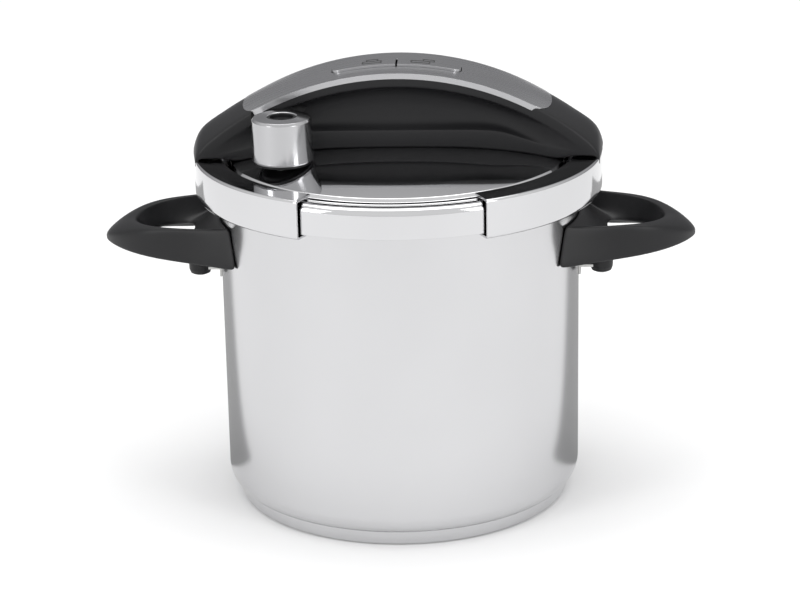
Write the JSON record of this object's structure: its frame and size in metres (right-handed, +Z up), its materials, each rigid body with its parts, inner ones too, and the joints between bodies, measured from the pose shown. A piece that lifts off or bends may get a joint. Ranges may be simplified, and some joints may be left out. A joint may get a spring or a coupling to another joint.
{
  "type": "stovetop pressure cooker",
  "caption": "Steel stovetop pressure cooker with loop handles, a lid held by clamping jaws under a bridge handle with lock and unlock buttons, and a turning steam valve.",
  "frame": {"origin": "centre of the base, on the hob surface", "axes": "+Z up; -Y is the front, with the steam valve front left; the bridge handle, the jaws and the side handles lie along X, +X to the right seen from the front"},
  "size_m": [0.366, 0.2436, 0.2759],
  "materials": {
    "pot_steel": "fine satin",
    "base_aluminium": "plain",
    "black_plastic": "satin phenolic",
    "lid_steel": "mirror polished stainless steel",
    "jaw_steel": "mirror polished stainless steel",
    "satin_steel": "satin",
    "knob_steel": "polished stainless steel",
    "plain_steel": "plain",
    "spring_steel": "bright",
    "silicone": "matte",
    "indicator_red": "gloss"
  },
  "bodies": {
    "vessel": {"pot_shell": "pot_steel", "base_disc": "base_aluminium", "base_cap": "pot_steel", "handle_right": "black_plastic", "handle_bracket_right": "plain_steel", "handle_screw_right": "plain_steel", "handle_left": "black_plastic", "handle_bracket_left": "plain_steel", "handle_screw_left": "plain_steel"},
    "lid": {"lid_shell": "lid_steel", "gasket": "silicone", "top_plate": "satin_steel", "bridge_body": "black_plastic", "chassis": "plain_steel", "chassis_rivets": "plain_steel", "bridge_screws": "plain_steel", "arm_guide_right": "plain_steel", "jaw_spring_right": "spring_steel", "arm_guide_left": "plain_steel", "jaw_spring_left": "spring_steel", "rocker_pin": "plain_steel", "valve_stem": "plain_steel", "valve_nut": "plain_steel", "valve_collar": "black_plastic", "safety_valve_body": "plain_steel", "safety_valve_nut": "plain_steel", "safety_valve_cap": "plain_steel", "safety_spring": "spring_steel", "indicator_bush": "silicone"},
    "left_jaw": {"jaw_left": "jaw_steel", "jaw_arm_left": "plain_steel", "jaw_rivets_left": "plain_steel", "cam_pin_left": "plain_steel"},
    "right_jaw": {"jaw_right": "jaw_steel", "jaw_arm_right": "plain_steel", "jaw_rivets_right": "plain_steel", "cam_pin_right": "plain_steel"},
    "unlock_key": {"unlock_button": "satin_steel", "cam_plate": "plain_steel"},
    "lock_key": {"lock_button": "satin_steel"},
    "rocker_arm": {"rocker": "plain_steel"},
    "knob": {"valve_knob": "knob_steel", "valve_core": "black_plastic", "valve_retainer": "black_plastic", "valve_spring": "spring_steel"},
    "weight": {"valve_poppet": "plain_steel"},
    "relief": {"safety_valve_poppet": "plain_steel"},
    "float": {"pressure_indicator": "indicator_red"}
  },
  "joints": [
    {"name": "lid_lift", "type": "slide", "parent": "vessel", "child": "lid", "axis": [0, 0, 1], "range_m": [0, 0.15]},
    {"name": "left_jaw_slide", "type": "slide", "parent": "lid", "child": "left_jaw", "axis": [-1, 0, 0], "range_m": [0, 0.01], "stiffness_N_per_m": 150, "springref_m": -0.01, "deforming": ["jaw_spring_left"]},
    {"name": "right_jaw_slide", "type": "slide", "parent": "lid", "child": "right_jaw", "axis": [1, 0, 0], "range_m": [0, 0.01], "deforming": ["jaw_spring_right"]},
    {"name": "unlock_button_press", "type": "slide", "parent": "lid", "child": "unlock_key", "axis": [0, 0, -1], "range_m": [0, 0.0035]},
    {"name": "lock_button_rise", "type": "slide", "parent": "lid", "child": "lock_key", "axis": [0, 0, 1], "range_m": [0, 0.0035]},
    {"name": "rocker_tilt", "type": "hinge", "parent": "lid", "child": "rocker_arm", "pos_m": [0, 0.004, 0.254], "axis": [0, 1, 0], "range_deg": [0, 10.58]},
    {"name": "valve_knob_turn", "type": "hinge", "parent": "lid", "child": "knob", "pos_m": [-0.067, -0.047, 0.226], "axis": [0, 0, 1], "range_deg": [0, 120]},
    {"name": "valve_poppet_lift", "type": "slide", "parent": "knob", "child": "weight", "axis": [0, 0, 1], "range_m": [0, 0.0025], "stiffness_N_per_m": 200, "springref_m": -0.002, "deforming": ["valve_spring"]},
    {"name": "safety_poppet_lift", "type": "slide", "parent": "lid", "child": "relief", "axis": [0, 0, 1], "range_m": [0, 0.002], "stiffness_N_per_m": 900, "springref_m": -0.002, "deforming": ["safety_spring"]},
    {"name": "pressure_indicator_rise", "type": "slide", "parent": "lid", "child": "float", "axis": [0, 0, 1], "range_m": [0, 0.0045]}
  ],
  "couplings": [
    {"joint": "right_jaw_slide", "follows": "left_jaw_slide", "ratio": 1},
    {"joint": "unlock_button_press", "follows": "left_jaw_slide", "ratio": 0.35},
    {"joint": "lock_button_rise", "follows": "left_jaw_slide", "ratio": 0.35},
    {"joint": "rocker_tilt", "follows": "left_jaw_slide", "rad_per_m": 18.447}
  ]
}
